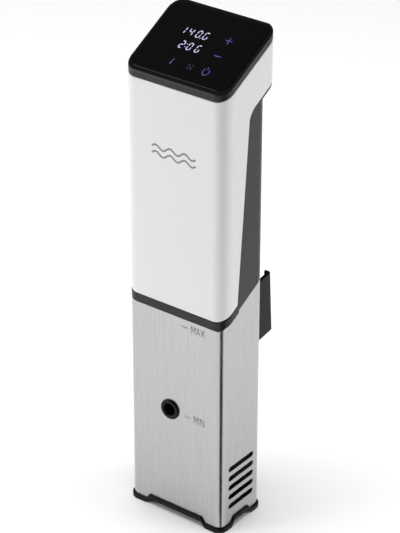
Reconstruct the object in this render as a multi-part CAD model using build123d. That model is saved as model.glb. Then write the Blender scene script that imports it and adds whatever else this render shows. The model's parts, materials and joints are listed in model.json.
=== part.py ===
from build123d import *
from math import cos, radians, tan
import os

# Immersion (sous vide) circulator: slant-topped head, pull-off steel sleeve, spring clamp and pump drive.
# +Z is up, +Y to the back (clamp side) and +X to the right seen from the front. The origin is on the
# ground plane, under the middle of the steel sleeve. Millimetres.

# ---- driving dimensions -------------------------------------------------------------------------
SLANT = 28.0                 # pitch of the touch panel and of the head's lower edge, front low

HEAD_WIDTH = 80.0
HEAD_FRONT = -22.7           # Y of the head's front face
HEAD_REAR = 32.2             # Y of the head's rear face, above the hand recess
HEAD_RADIUS = 9.0            # plan corner radius
SHELL_WALL = 2.0

# heights at the head's front face; each plane climbs to the back by SLANT
BAND_LOW = 156.5             # lower edge of the dark band
BAND_HIGH = 163.0            # dark band to white shell
RECESS_TOP = 288.5           # underside of the overhang above the hand recess
SHELL_TOP = 317.3            # white shell to bezel
PANEL_TOP = 323.0            # bezel rim

GRIP_WIDTH = 78.0
GRIP_BACK = 23.0             # Y of the rear grip's back face
GRIP_RADIUS = 8.0
GRIP_WALL = 2.5
WEDGE_LOW_Y = -7.7           # rear edge of the shell at the band
WEDGE_TOP_Y = 3.55           # where that edge would meet the overhang's underside
WEDGE_FILLET = 12.0
BAND_END = -6.3              # Y where the band stops on each side

SLEEVE_WIDTH = 76.7
SLEEVE_DEPTH = 44.4
SLEEVE_RADIUS = 5.5
SLEEVE_WALL = 0.8

PUMP_X = 8.0                 # shaft axis
OUTLET_X = -4.0
OUTLET_Z = 83.5
SHAFT_RADIUS = 2.5

PIVOT_Y = 31.0               # clamp hinge
PIVOT_Z = 153.0
PIN_RADIUS = 2.0
LEVER_WIDTH = 56.0

GAP = 0.15                   # general assembly clearance
RUNNING = 0.03               # radial clearance of a running fit
FAR = 90.0                   # beyond the object in X or Y
SLOPE = tan(radians(SLANT))


# ---- helpers ------------------------------------------------------------------------------------
def rise(level, y):
    """Height at depth y of the slanted plane that passes through level at the head's front."""
    return level + (y - HEAD_FRONT) * SLOPE


def block(x0, x1, y0, y1, z0, z1):
    return Pos((x0 + x1) / 2, (y0 + y1) / 2, (z0 + z1) / 2) * Box(x1 - x0, y1 - y0, z1 - z0)


def prism(width, y_front, y_rear, radius, z0, z1, x_mid=0.0):
    """Vertical prism with a rounded-rectangle plan."""
    plan = Pos(x_mid, (y_front + y_rear) / 2) * RectangleRounded(width, y_rear - y_front, radius)
    return Pos(0, 0, z0) * extrude(plan, z1 - z0)


def across(points, x0=-FAR, x1=FAR):
    """Closed outline in the Y-Z plane, carried along X."""
    return Pos(x0, 0, 0) * extrude(Plane.YZ * Polygon(*points, align=None), x1 - x0, dir=(1, 0, 0))


def slab(low, high, y0=-FAR, y1=FAR):
    """Everything between two slanted planes."""
    return across([(y0, rise(low, y0)), (y1, rise(low, y1)), (y1, rise(high, y1)), (y0, rise(high, y0))])


def rod(radius, x, y, z0, z1):
    return Pos(x, y, (z0 + z1) / 2) * Cylinder(radius, z1 - z0)


def rod_y(radius, x, z, y0, y1):
    return Pos(x, (y0 + y1) / 2, z) * Rot(90, 0, 0) * Cylinder(radius, y1 - y0)


def rod_x(radius, y, z, x0, x1):
    return Pos((x0 + x1) / 2, y, z) * Rot(0, 90, 0) * Cylinder(radius, x1 - x0)


def tube(outer, inner, x, y, z0, z1):
    return rod(outer, x, y, z0, z1) - rod(inner, x, y, z0 - 1, z1 + 1)


def on_slope(shape, x, y, level):
    """Stand a shape made along Z on the slanted plane, square to it."""
    return Pos(x, y, rise(level, y)) * Rot(SLANT, 0, 0) * shape


def several(solids):
    """Separate solids that share one node."""
    return Compound(children=list(solids))


def screw_y(x, z, y_head, length, head_radius=2.6, shank_radius=1.4, towards=-1):
    """Pan-head screw along Y: head at y_head, shank running towards -Y or +Y."""
    head = rod_y(head_radius, x, z, *sorted((y_head, y_head - towards * 1.6)))
    shank = rod_y(shank_radius, x, z, *sorted((y_head, y_head + towards * length)))
    socket = block(x - 0.4, x + 0.4, *sorted((y_head - towards * 0.9, y_head - towards * 2)), z - 1.8, z + 1.8)
    return head + shank - socket


def screw_z(x, y, z_head, length, head_radius=2.4, shank_radius=1.3, towards=-1):
    head = rod(head_radius, x, y, *sorted((z_head, z_head - towards * 1.5)))
    shank = rod(shank_radius, x, y, *sorted((z_head, z_head + towards * length)))
    return head + shank


# ---- head: casing -------------------------------------------------------------------------------
def head_outline(inset, z0, z1):
    return prism(HEAD_WIDTH - 2 * inset, HEAD_FRONT + inset, HEAD_REAR - inset, HEAD_RADIUS - inset, z0, z1)


def rear_edge(offset):
    """Lower, corner and far points of the shell's rear edge on the side, moved back by offset."""
    corner_z = rise(RECESS_TOP, WEDGE_TOP_Y)
    low = (WEDGE_LOW_Y + offset, rise(BAND_HIGH, WEDGE_LOW_Y))
    corner = (WEDGE_TOP_Y + offset, corner_z - offset * (1 - SLOPE))
    return low, corner


def with_round_corner(points, corner, radius):
    """The outline with its corner point rounded, carried along X."""
    face = Polygon(*points, align=None)
    vertex = face.vertices().sort_by_distance((corner[0], corner[1], 0))[0]
    return Pos(-FAR, 0, 0) * extrude(Plane.YZ * fillet(vertex, radius), 2 * FAR, dir=(1, 0, 0))


def front_shell():
    low, corner = rear_edge(0)
    side_view = with_round_corner([
        (-FAR, rise(BAND_HIGH, -FAR)),
        low,
        corner,
        (FAR, rise(RECESS_TOP, FAR)),
        (FAR, rise(SHELL_TOP, FAR)),
        (-FAR, rise(SHELL_TOP, -FAR)),
    ], corner, WEDGE_FILLET)
    shell = head_outline(0, 100, 400) - head_outline(SHELL_WALL, 99, 401)
    return (shell & side_view) - rod_y(GLAND_HOLE, 0, GLAND_Z, 20, 40)


def rear_grip():
    low, corner = rear_edge(GAP)
    side_view = with_round_corner([
        (BAND_END + GAP, rise(BAND_LOW, BAND_END + GAP)),
        (FAR, rise(BAND_LOW, FAR)),
        (FAR, rise(RECESS_TOP - GAP, FAR)),
        corner,
        (low[0], rise(BAND_HIGH, low[0]) + GAP),
        (BAND_END + GAP, rise(BAND_HIGH, BAND_END) + GAP),
    ], corner, WEDGE_FILLET)
    outer = prism(GRIP_WIDTH, -30, GRIP_BACK, GRIP_RADIUS, 100, 400)
    hollow = prism(GRIP_WIDTH - 2 * GRIP_WALL, -40, GRIP_BACK - GRIP_WALL, GRIP_RADIUS - GRIP_WALL, 99, 401)
    walls = (outer - hollow) & side_view

    # flange under the overhang, just inside the white edge, and its locating plug above it
    flange = prism(HEAD_WIDTH - 1.2, 8, HEAD_REAR - 0.6, HEAD_RADIUS - 0.6, 100, 400) & slab(RECESS_TOP - 1.5, RECESS_TOP - GAP)
    flange &= block(-FAR, FAR, 16, FAR, 0, 400)
    plug_inset = SHELL_WALL + GAP
    plug = head_outline(plug_inset, 100, 400) & slab(RECESS_TOP - 1.5, RECESS_TOP + 2.4)
    plug &= block(-FAR, FAR, 16, FAR, 0, 400)
    overhang = (flange + plug) - prism(66, -30, GRIP_BACK - GRIP_WALL, 4, 99, 401)

    # lips that tuck under the shell's rear edge
    lip_outer = HEAD_WIDTH / 2 - SHELL_WALL - GAP
    lip_inner = GRIP_WIDTH / 2 - GRIP_WALL - 0.5
    edge_low, edge_high = rise(BAND_HIGH, WEDGE_LOW_Y) + 4, corner[1] - 16
    lean = (WEDGE_TOP_Y - WEDGE_LOW_Y) / (corner[1] - low[1])
    y_low = WEDGE_LOW_Y + lean * (edge_low - low[1])
    y_high = WEDGE_LOW_Y + lean * (edge_high - low[1])
    lip_view = [(y_low - 5, edge_low), (y_low + 1.5, edge_low), (y_high + 1.5, edge_high), (y_high - 5, edge_high)]
    lips = [across(lip_view, *sorted((side * lip_inner, side * lip_outer))) for side in (-1, 1)]
    grip = walls + overhang + lips[0] + lips[1]
    for x, z in BRACKET_SCREWS:
        grip -= rod_y(BRACKET_THREAD + 0.05, x, z, 15, 30)
    return grip


def sleeve_outline(inset, z0, z1):
    half = SLEEVE_DEPTH / 2 - inset
    return prism(SLEEVE_WIDTH - 2 * inset, -half, half, SLEEVE_RADIUS - inset, z0, z1)


FLOOR_THICK = 3.0
SEAL_GROOVE = (150.0, 151.8)
SPIGOT_LOW = 140.2           # lower rim of the head base's spigot
SPIGOT_WALL = 2.2
PLATE_Z = 137.0              # underside of the steel bulkhead plate
PLATE_SCREWS = [(x, y) for x in (-33, 33) for y in (-16.5, 16.5)]
BOSS_RADIUS = 2.6
THREAD_HOLE = 1.35


def head_base():
    """Dark band, floor flange and the spigot that the sleeve pulls off."""
    band = head_outline(0, 100, 400) - head_outline(SHELL_WALL, 99, 401)
    band &= slab(BAND_LOW, BAND_HIGH - 0.05)
    band &= block(-FAR, FAR, -FAR, BAND_END, 0, 400)
    floor = prism(HEAD_WIDTH - 2 * SHELL_WALL + 1, HEAD_FRONT + 1, BAND_END + 4, 6, 100, 400)
    floor &= block(-FAR, FAR, -FAR, BAND_END, 0, 400)
    floor_rear = prism(GRIP_WIDTH - 2 * GRIP_WALL - 2 * GAP, -16, GRIP_BACK - GRIP_WALL - GAP, 5, 100, 400)
    floor = (floor + floor_rear) & slab(BAND_LOW, BAND_LOW + FLOOR_THICK)
    lip = head_outline(SHELL_WALL + GAP, 100, 400) - head_outline(SHELL_WALL + GAP + 1.6, 99, 401)
    lip &= slab(BAND_LOW, BAND_HIGH + 4.0)
    lip &= block(-FAR, FAR, -FAR, BAND_END - 3, 0, 400)
    spigot = sleeve_outline(SLEEVE_WALL + GAP, SPIGOT_LOW, 400) & across([
        (-FAR, 0), (FAR, 0), (FAR, rise(BAND_LOW, FAR)), (BAND_END, rise(BAND_LOW, BAND_END)),
        (BAND_END, rise(BAND_LOW + 1, BAND_END)), (-FAR, rise(BAND_LOW + 1, -FAR))])
    well = sleeve_outline(SLEEVE_WALL + GAP + SPIGOT_WALL, 99, 401)
    groove = sleeve_outline(0, *SEAL_GROOVE) - sleeve_outline(SLEEVE_WALL + GAP + 1.1, 149, 153)
    base = band + lip + (floor - well) + (spigot - well) - groove
    for x, y in PLATE_SCREWS:
        base += rod(BOSS_RADIUS, x, y, SPIGOT_LOW, rise(BAND_LOW, y) - 3)
        base -= rod(THREAD_HOLE, x, y, 130, 152)
    return base


def sleeve_seal():
    """Square-section silicone ring in the spigot's groove."""
    low, high = SEAL_GROOVE
    ring = sleeve_outline(SLEEVE_WALL + 0.12, low + 0.05, high - 0.05)
    return ring - sleeve_outline(SLEEVE_WALL + GAP + 1.05, 149, 153)


# ---- head: touch panel --------------------------------------------------------------------------
RIM = 2.7                    # bezel width from the head's outside to the glass
RIM_BEVEL = 1.2
LEDGE_TOP = PANEL_TOP - 3.0
GLASS_LOW = PANEL_TOP - 2.6
GLASS_TOP = PANEL_TOP - 0.3
BOARD_LOW = 309.6
BOARD_TOP = BOARD_LOW + 1.6


def top_bezel():
    """Frame round the glass, with a ledge under it and a skirt inside the shell that the board screws to."""
    rim = head_outline(0, 300, 400) & slab(SHELL_TOP + 0.05, PANEL_TOP)
    top_face = rim.faces().sort_by(Axis.Z)[-1]
    rim = chamfer(top_face.edges(), RIM_BEVEL)
    skirt = head_outline(SHELL_WALL + GAP, 290, 400) & slab(BOARD_TOP + 0.05, SHELL_TOP + 1.0)
    window = head_outline(RIM + 3.0, 290, 401)
    pocket = head_outline(RIM - GAP, 290, 401) & slab(LEDGE_TOP, PANEL_TOP + 5)
    bezel = rim + skirt - window - pocket
    for x, y in BOARD_HOLES:
        bezel -= on_slope(rod(BOARD_THREAD, 0, 0, -1, 7), x, y, BOARD_LOW)
    return bezel


def glass_gasket():
    ring = head_outline(RIM + 0.2, 290, 400) - head_outline(RIM + 2.6, 289, 401)
    return ring & slab(LEDGE_TOP, GLASS_LOW)


def touch_glass():
    return head_outline(RIM, 290, 400) & slab(GLASS_LOW, GLASS_TOP)


KEYS = {"plus": (16.3, 12.8), "minus": (16.2, 1.2), "temperature": (-10.0, -10.4),
        "timer": (3.9, -10.5), "power": (16.1, -10.6)}
BOARD_HOLES = [(x, y) for x in (-36.0, 36.0) for y in (-12.0, 20.0)]
BOARD_THREAD = 1.1


def display_board():
    board = prism(74.8, -20.0, 25.4, 5, 290, 400) & slab(BOARD_LOW, BOARD_TOP)
    for x, y in BOARD_HOLES:
        board -= on_slope(Cylinder(1.5, 12), x, y, BOARD_LOW)
    return board


def display_module():
    """Diffuser box of the two seven-segment rows, open upward."""
    body = prism(23, -3, 17, 1, 290, 400, x_mid=-7.5) & slab(BOARD_TOP, GLASS_LOW - 0.8)
    for y0, y1 in ((-1.2, 5.4), (8.2, 14.6)):
        body -= block(-17.8, 2.8, y0, y1, 0, 400) & slab(GLASS_LOW - 2.0, GLASS_LOW)
    return body


def touch_springs():
    """Conductive foam posts between the board and the glass, one behind each touch key."""
    height = (GLASS_LOW - BOARD_TOP - 0.1) * cos(radians(SLANT))
    post = Pos(0, 0, height / 2) * (Cylinder(2.0, height) - Cylinder(1.3, height))
    return several(on_slope(post, x, y, BOARD_TOP) for x, y in KEYS.values())


def board_screws():
    """Screws driven from below, through the board into the bezel's bosses."""
    screw = rod(2.0, 0, 0, -1.5, 0) + rod(BOARD_THREAD - 0.05, 0, 0, -0.1, 5.5)
    return several(on_slope(screw, x, y, BOARD_LOW) for x, y in BOARD_HOLES)


def buzzer():
    body = Pos(0, 0, -2.25) * Cylinder(6.0, 4.5) - Pos(0, 0, -4.5) * Cylinder(1.0, 2.0)
    return on_slope(body, 24, 3, BOARD_LOW)


# ---- head: power electronics --------------------------------------------------------------------
POWER_Y = 8.0
POWER_LOW, POWER_HIGH = 238.0, 298.0
POST_PLACES = [(x, z) for x in (-26, 26) for z in (POWER_LOW + 5, POWER_HIGH - 5)]


def power_board():
    board = block(-30, 30, POWER_Y, POWER_Y + 1.6, POWER_LOW, POWER_HIGH)
    for x, z in POST_PLACES:
        board -= rod_y(1.5, x, z, POWER_Y - 1, POWER_Y + 3)
    return board


def board_posts():
    return several(
        rod_y(2.8, x, z, POWER_Y + 1.6, GRIP_BACK - GRIP_WALL) - rod_y(1.35, x, z, POWER_Y, POWER_Y + 8)
        for x, z in POST_PLACES)


def power_screws():
    return several(screw_y(x, z, POWER_Y, 6.5, 2.5, 1.3, towards=1) for x, z in POST_PLACES)


def transformer():
    core = block(-22, -2, POWER_Y - 16, POWER_Y, 244, 262)
    winding = block(-19, -5, POWER_Y - 17.5, POWER_Y - 1.5, 247, 259)
    return core + winding


def capacitors():
    return several(rod_y(5.0, x, 252, POWER_Y - 16, POWER_Y) for x in (6, 18))


def heat_sink():
    fins = block(-20, 20, POWER_Y + 1.6, POWER_Y + 4, 256, 286)
    for step in range(6):
        x = -18.5 + step * 7.1
        fins += block(x, x + 1.6, POWER_Y + 1.6, POWER_Y + 11, 256, 286)
    return fins


def terminal_block():
    body = block(-24, 20, POWER_Y - 9, POWER_Y, 276, 286)
    for step in range(5):
        body -= rod(1.6, -19.5 + step * 8.7, POWER_Y - 4.5, 280, 290)
    return body


# ---- head: cord gland ---------------------------------------------------------------------------
GLAND_Z = 328.0
GLAND_HOLE = 6.0
CORD_BORE = 3.2
NUT_RADIUS = 8.5


def cord_gland():
    body = rod_y(GLAND_HOLE - 0.05, 0, GLAND_Z, 25.6, HEAD_REAR)
    flange = rod_y(8.2, 0, GLAND_Z, HEAD_REAR, HEAD_REAR + 2.0)
    nose = Pos(0, HEAD_REAR + 4.5, GLAND_Z) * Rot(-90, 0, 0) * Cone(6.6, 5.2, 5.0)
    return body + flange + nose - rod_y(CORD_BORE, 0, GLAND_Z, 20, 45)


def gland_nut():
    face = Plane(origin=(0, HEAD_REAR - SHELL_WALL, GLAND_Z), z_dir=(0, -1, 0)) * RegularPolygon(NUT_RADIUS, 6)
    return extrude(face, 3.4) - rod_y(GLAND_HOLE + 0.02, 0, GLAND_Z, 15, 40)


# ---- motor and pump -----------------------------------------------------------------------------
MOUNT_Z = 186.0              # underside of the motor mount
MOTOR_LOW = MOUNT_Z + 2.0
MOTOR_HIGH = MOTOR_LOW + 38.0
MOTOR_RADIUS = 17.0
STANDOFFS = [(PUMP_X + dx, dy) for dx in (-14, 14) for dy in (-13.5, 13.5)]
MOTOR_SCREWS = (PUMP_X - 11.5, PUMP_X + 11.5)
PUMP_LOW, PUMP_HIGH = 74.0, 96.0
PUMP_RADIUS = 15.5
CHAMBER = (76.0, 92.0)
CHAMBER_RADIUS = 13.5
DUCT_OUTER = 6.0
DUCT_INNER = 4.5


def bulkhead_plate():
    plate = sleeve_outline(SLEEVE_WALL + 0.3, PLATE_Z, PLATE_Z + 2.0)
    plate -= rod(6.05, PUMP_X, 0, 130, 145)
    for x, y in HEATER_LEGS:
        plate -= rod(HEATER_RADIUS + 0.05, x, y, 130, 145)
    plate -= rod(2.05, *PROBE_PLACE, 130, 145)
    for x, y in LEVEL_PLACES:
        plate -= rod(2.55, x, y, 130, 145)
    for x, y in PLATE_SCREWS:
        plate -= rod(1.5, x, y, 130, 145)
    return plate


def bulkhead_gasket():
    ring = sleeve_outline(SLEEVE_WALL + 0.5, PLATE_Z + 2.0, SPIGOT_LOW)
    ring -= sleeve_outline(SLEEVE_WALL + GAP + SPIGOT_WALL, 130, 145)
    return ring


def plate_screws():
    return several(screw_z(x, y, PLATE_Z, 11.0, 2.6, 1.3, towards=1) for x, y in PLATE_SCREWS)


def motor_standoffs():
    return several(
        rod(2.6, x, y, PLATE_Z + 2.0, MOUNT_Z) - rod(1.25, x, y, MOUNT_Z - 8, MOUNT_Z + 1) for x, y in STANDOFFS)


def motor_mount():
    plate = prism(42, -16, 16, 4, MOUNT_Z, MOTOR_LOW, x_mid=PUMP_X)
    plate -= rod(8.0, PUMP_X, 0, MOUNT_Z - 1, MOTOR_LOW + 1)
    for x, y in STANDOFFS + [(x, 0) for x in MOTOR_SCREWS]:
        plate -= rod(1.5, x, y, MOUNT_Z - 1, MOTOR_LOW + 1)
    return plate


def mount_screws():
    return several(screw_z(x, y, MOTOR_LOW, 7.5, 2.3, 1.2) for x, y in STANDOFFS)


def motor_case():
    can = rod(MOTOR_RADIUS, PUMP_X, 0, MOTOR_LOW, MOTOR_HIGH)
    can -= rod(MOTOR_RADIUS - 1.2, PUMP_X, 0, MOTOR_LOW + 2.5, MOTOR_HIGH - 2.5)
    can -= rod(6.55, PUMP_X, 0, MOTOR_LOW - 1, MOTOR_HIGH + 1)
    for x in MOTOR_SCREWS:
        can -= rod(THREAD_HOLE, x, 0, MOTOR_LOW - 1, MOTOR_LOW + 4)
    return can


def motor_screws():
    return several(screw_z(x, 0, MOUNT_Z, 4.2, 2.2, 1.3, towards=1) for x in MOTOR_SCREWS)


def motor_stator():
    return tube(MOTOR_RADIUS - 1.3, 11.6, PUMP_X, 0, MOTOR_LOW + 7, MOTOR_HIGH - 7)


def motor_bearings():
    low = tube(6.5, SHAFT_RADIUS + RUNNING, PUMP_X, 0, MOTOR_LOW - 1.5, MOTOR_LOW + 3.5)
    high = tube(6.5, SHAFT_RADIUS + RUNNING, PUMP_X, 0, MOTOR_HIGH - 3.5, MOTOR_HIGH + 1.5)
    return several([low, high])


def motor_rotor():
    return tube(11.2, SHAFT_RADIUS, PUMP_X, 0, MOTOR_LOW + 8, MOTOR_HIGH - 8)


def drive_shaft():
    shaft = rod(SHAFT_RADIUS, PUMP_X, 0, CHAMBER[0] + 1.4, MOTOR_HIGH + 5)
    return chamfer(shaft.edges().filter_by(GeomType.CIRCLE), 0.4)


def shaft_seal():
    ring = tube(6.0, SHAFT_RADIUS + RUNNING, PUMP_X, 0, PLATE_Z - 1.5, PLATE_Z + 5)
    flange = tube(8.5, SHAFT_RADIUS + RUNNING, PUMP_X, 0, PLATE_Z + 2.0, PLATE_Z + 4)
    return ring + flange


def support_tube():
    body = tube(6.6, 5.4, PUMP_X, 0, PUMP_HIGH + 4, PLATE_Z - 1.6)
    foot = tube(9.5, 6.2, PUMP_X, 0, PLATE_Z - 1.6, PLATE_Z)
    return body + foot


def pump_housing():
    """Volute chamber with a tangential outlet duct that ends behind the sleeve's outlet."""
    body = rod(PUMP_RADIUS, PUMP_X, 0, PUMP_LOW, PUMP_HIGH)
    hub = rod(8.0, PUMP_X, 0, PUMP_HIGH, PUMP_HIGH + 9)
    duct = rod_y(DUCT_OUTER, OUTLET_X, OUTLET_Z, -20.1, 0)
    duct &= block(-FAR, PUMP_X, -FAR, 0, PUMP_LOW, PUMP_HIGH)
    housing = body + hub + duct
    housing -= rod(CHAMBER_RADIUS, PUMP_X, 0, PUMP_LOW - 1, CHAMBER[1])
    housing -= rod_y(DUCT_INNER, OUTLET_X, OUTLET_Z, -21, -1)
    housing -= rod(4.45, PUMP_X, 0, CHAMBER[1] - 1, PUMP_HIGH + 4)
    housing -= rod(6.65, PUMP_X, 0, PUMP_HIGH + 3.95, PUMP_HIGH + 10)
    return housing


def pump_bush():
    return tube(4.4, SHAFT_RADIUS + RUNNING, PUMP_X, 0, CHAMBER[1], PUMP_HIGH + 3.9)


def pump_cover():
    cover = rod(PUMP_RADIUS, PUMP_X, 0, PUMP_LOW - 2.5, PUMP_LOW)
    cover += rod(CHAMBER_RADIUS - 0.1, PUMP_X, 0, PUMP_LOW - 0.5, CHAMBER[0])
    cover -= rod(6.5, PUMP_X, 0, PUMP_LOW - 4, CHAMBER[0] + 1)
    for angle in (0, 60, 120):
        bar = Pos(PUMP_X, 0, PUMP_LOW - 2.0) * Rot(0, 0, angle) * Box(13.4, 1.2, 1.0)
        cover += bar
    return cover


def impeller():
    low = CHAMBER[0] + 1.4
    hub = tube(4.2, SHAFT_RADIUS, PUMP_X, 0, low, low + 12)
    disc = tube(12.0, SHAFT_RADIUS, PUMP_X, 0, low + 8.5, low + 10)
    wheel = hub + disc
    for step in range(6):
        blade = Pos(7.6, 0, low + 4.3) * Box(8.4, 1.3, 8.6)
        wheel += Pos(PUMP_X, 0, 0) * Rot(0, 0, 60 * step) * blade
    return wheel


# ---- heater and probes --------------------------------------------------------------------------
HEATER_RADIUS = 3.25
HEATER_X = 29.0
HEATER_Y = 9.0
HEATER_LEGS = [(x, y) for x in (-HEATER_X, HEATER_X) for y in (-HEATER_Y, HEATER_Y)]
HEATER_LOW = 38.0
PROBE_PLACE = (-14.0, 13.5)
LEVEL_PLACES = [(-20.0, -14.0), (-12.0, -14.0)]


def heater():
    loops = []
    for y in (-HEATER_Y, HEATER_Y):
        path = FilletPolyline(
            (-HEATER_X, y, PLATE_Z + 12), (-HEATER_X, y, HEATER_LOW), (HEATER_X, y, HEATER_LOW),
            (HEATER_X, y, PLATE_Z + 12), radius=12)
        section = Plane(origin=path @ 0, z_dir=path % 0) * Circle(HEATER_RADIUS)
        loops.append(sweep(section, path))
    return several(loops)


def heater_nuts():
    nuts = []
    for x, y in HEATER_LEGS:
        hexagon = Pos(x, y, PLATE_Z + 2) * extrude(RegularPolygon(4.6, 6), 3.5)
        nuts.append(hexagon - rod(HEATER_RADIUS + 0.05, x, y, 130, 150))
    return several(nuts)


def temperature_probe():
    x, y = PROBE_PLACE
    return rod(2.0, x, y, 62, PLATE_Z + 8) + Pos(x, y, 62) * Sphere(2.0)


def level_probes():
    return several(rod(1.5, x, y, z, PLATE_Z + 8) for (x, y), z in zip(LEVEL_PLACES, (82.0, 92.0)))


def probe_bushes():
    bushes = []
    for x, y in LEVEL_PLACES:
        bushes.append(
            tube(2.5, 1.52, x, y, PLATE_Z - 3, PLATE_Z + 5) + tube(3.6, 1.52, x, y, PLATE_Z - 3, PLATE_Z))
    return several(bushes)


# ---- sleeve -------------------------------------------------------------------------------------
ARCH_RISE = 4.0
TRIM_HEIGHT = 3.7
TRIM_PROUD = 1.3
TRIM_INNER = 2.4
TRIM_FLOOR = 1.5             # trim thickness under the sheet's edge
FRONT_ARCH = (21.8, 26.0)    # half lengths of an arch at its top and at its foot
SIDE_ARCH = (7.6, 11.6)


def arch_tunnel(half_top, half_foot, lift, along):
    """Everything under the arch line raised by lift, running along X or Y through the whole base."""
    outline = [(-half_foot, -40), (-half_foot, lift), (-half_top, lift + ARCH_RISE),
               (half_top, lift + ARCH_RISE), (half_foot, lift), (half_foot, -40)]
    face = Polygon(*outline, align=None)
    corners = [v for v in face.vertices() if v.Y > lift + ARCH_RISE / 2]
    face = fillet(corners, 3.0)
    plane = Plane.YZ if along == "X" else Plane.XZ
    return extrude(plane * face, FAR, both=True)


def under_arches(lift):
    """Space below the foot line raised by lift: full width under the feet, arched between them."""
    below = block(-FAR, FAR, -FAR, FAR, -40, lift) if lift else None
    front = arch_tunnel(*FRONT_ARCH, lift, "Y") & block(-FAR, FAR, -FAR, -SLEEVE_DEPTH / 2 + 5, -40, 40)
    rear = arch_tunnel(*FRONT_ARCH, lift, "Y") & block(-FAR, FAR, SLEEVE_DEPTH / 2 - 5, FAR, -40, 40)
    left = arch_tunnel(*SIDE_ARCH, lift, "X") & block(-FAR, -SLEEVE_WIDTH / 2 + 5, -FAR, FAR, -40, 40)
    right = arch_tunnel(*SIDE_ARCH, lift, "X") & block(SLEEVE_WIDTH / 2 - 5, FAR, -FAR, FAR, -40, 40)
    space = front + rear + left + right
    return space + below if below else space


SLOT_LENGTH = 27.4
SLOT_HEIGHT = 4.0
SLOT_PITCH = 7.37
SLOT_LOW = 17.4              # centre of the lowest slot
SLOTS = 5
OUTLET_HOLE = 6.0


def steel_sleeve():
    below_head = across([
        (-FAR, -5), (FAR, -5), (FAR, rise(BAND_LOW - 0.05, FAR)), (-FAR, rise(BAND_LOW - 0.05, -FAR))])
    walls = sleeve_outline(0, 0, 300) - sleeve_outline(SLEEVE_WALL, -1, 301)
    sleeve = (walls & below_head) - under_arches(TRIM_FLOOR)
    for step in range(SLOTS):
        profile = Pos(0, SLOT_LOW + step * SLOT_PITCH) * SlotOverall(SLOT_LENGTH, SLOT_HEIGHT)
        sleeve -= extrude(Plane.YZ * profile, FAR, both=True)
    return sleeve - rod_y(OUTLET_HOLE, OUTLET_X, OUTLET_Z, -30, -10)


def base_trim():
    """Black channel round the sheet's lower edge, with a foot at each corner."""
    ring = sleeve_outline(-TRIM_PROUD, 0, 20) - sleeve_outline(TRIM_INNER, -1, 21)
    ring = (ring & under_arches(TRIM_HEIGHT)) - under_arches(0)
    groove = sleeve_outline(-0.05, 0, 20) - sleeve_outline(SLEEVE_WALL + 0.05, -1, 21)
    return ring - (groove - under_arches(TRIM_FLOOR - 0.02))


def intake_grille():
    """Flat guard inside the trim that keeps food bags off the pump."""
    low, high = 5.6, 7.4
    plate = sleeve_outline(TRIM_INNER, low, high)
    for step in range(7):
        x = -27 + step * 9
        plate -= Pos(x, 0, low - 1) * extrude(SlotOverall(28, 5.2, rotation=90), 5)
    return plate


def outlet_grommet():
    front = -SLEEVE_DEPTH / 2
    outer = rod_y(7.25, OUTLET_X, OUTLET_Z, front - 1.5, front)
    outer = fillet(outer.faces().sort_by(Axis.Y)[0].edges(), 0.9)
    neck = rod_y(OUTLET_HOLE - 0.05, OUTLET_X, OUTLET_Z, front - 0.5, front + SLEEVE_WALL + 0.3)
    inner = rod_y(7.0, OUTLET_X, OUTLET_Z, front + SLEEVE_WALL, front + SLEEVE_WALL + 1.0)
    return outer + neck + inner - rod_y(4.3, OUTLET_X, OUTLET_Z, front - 5, front + 5)


# ---- clamp --------------------------------------------------------------------------------------
BRACKET_THICK = 3.5
BRACKET_HALF = 20.0
BRACKET_LOW, BRACKET_HIGH = 146.5, 208.0
BRACKET_SCREWS = [(x, z) for x in (-13, 13) for z in (189, 201)]
BRACKET_THREAD = 1.5
LUG_RADIUS = 4.6
CHEEK = 2.6
LEVER_WALL = 1.6
SPRING_WIRE = 0.7
SPRING_RADIUS = 3.2
SPRING_PITCH = 2.0
SPRING_TURNS = 7.5
JAW_Y = 26.0


def clamp_bracket():
    y0, y1 = GRIP_BACK, GRIP_BACK + BRACKET_THICK
    plate = block(-BRACKET_HALF, BRACKET_HALF, y0, y1, BRACKET_LOW, BRACKET_HIGH)
    for x, z in BRACKET_SCREWS:
        plate -= rod_y(1.7, x, z, y0 - 1, y1 + 1)
    for side in (-1, 1):
        x0, x1 = sorted((side * 14.5, side * BRACKET_HALF))
        lug = rod_x(LUG_RADIUS, PIVOT_Y, PIVOT_Z, x0, x1)
        lug += block(x0, x1, y1 - 0.5, PIVOT_Y, PIVOT_Z - LUG_RADIUS, PIVOT_Z + LUG_RADIUS)
        plate += lug
    return plate - rod_x(PIN_RADIUS + RUNNING, PIVOT_Y, PIVOT_Z, -FAR, FAR)


def bracket_screws():
    return several(
        screw_y(x, z, GRIP_BACK + BRACKET_THICK, 5.5, 3.0, BRACKET_THREAD) for x, z in BRACKET_SCREWS)


def clamp_pin():
    return rod_x(PIN_RADIUS, PIVOT_Y, PIVOT_Z, -LEVER_WIDTH / 2 + 0.4, LEVER_WIDTH / 2 - 0.4)


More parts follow.
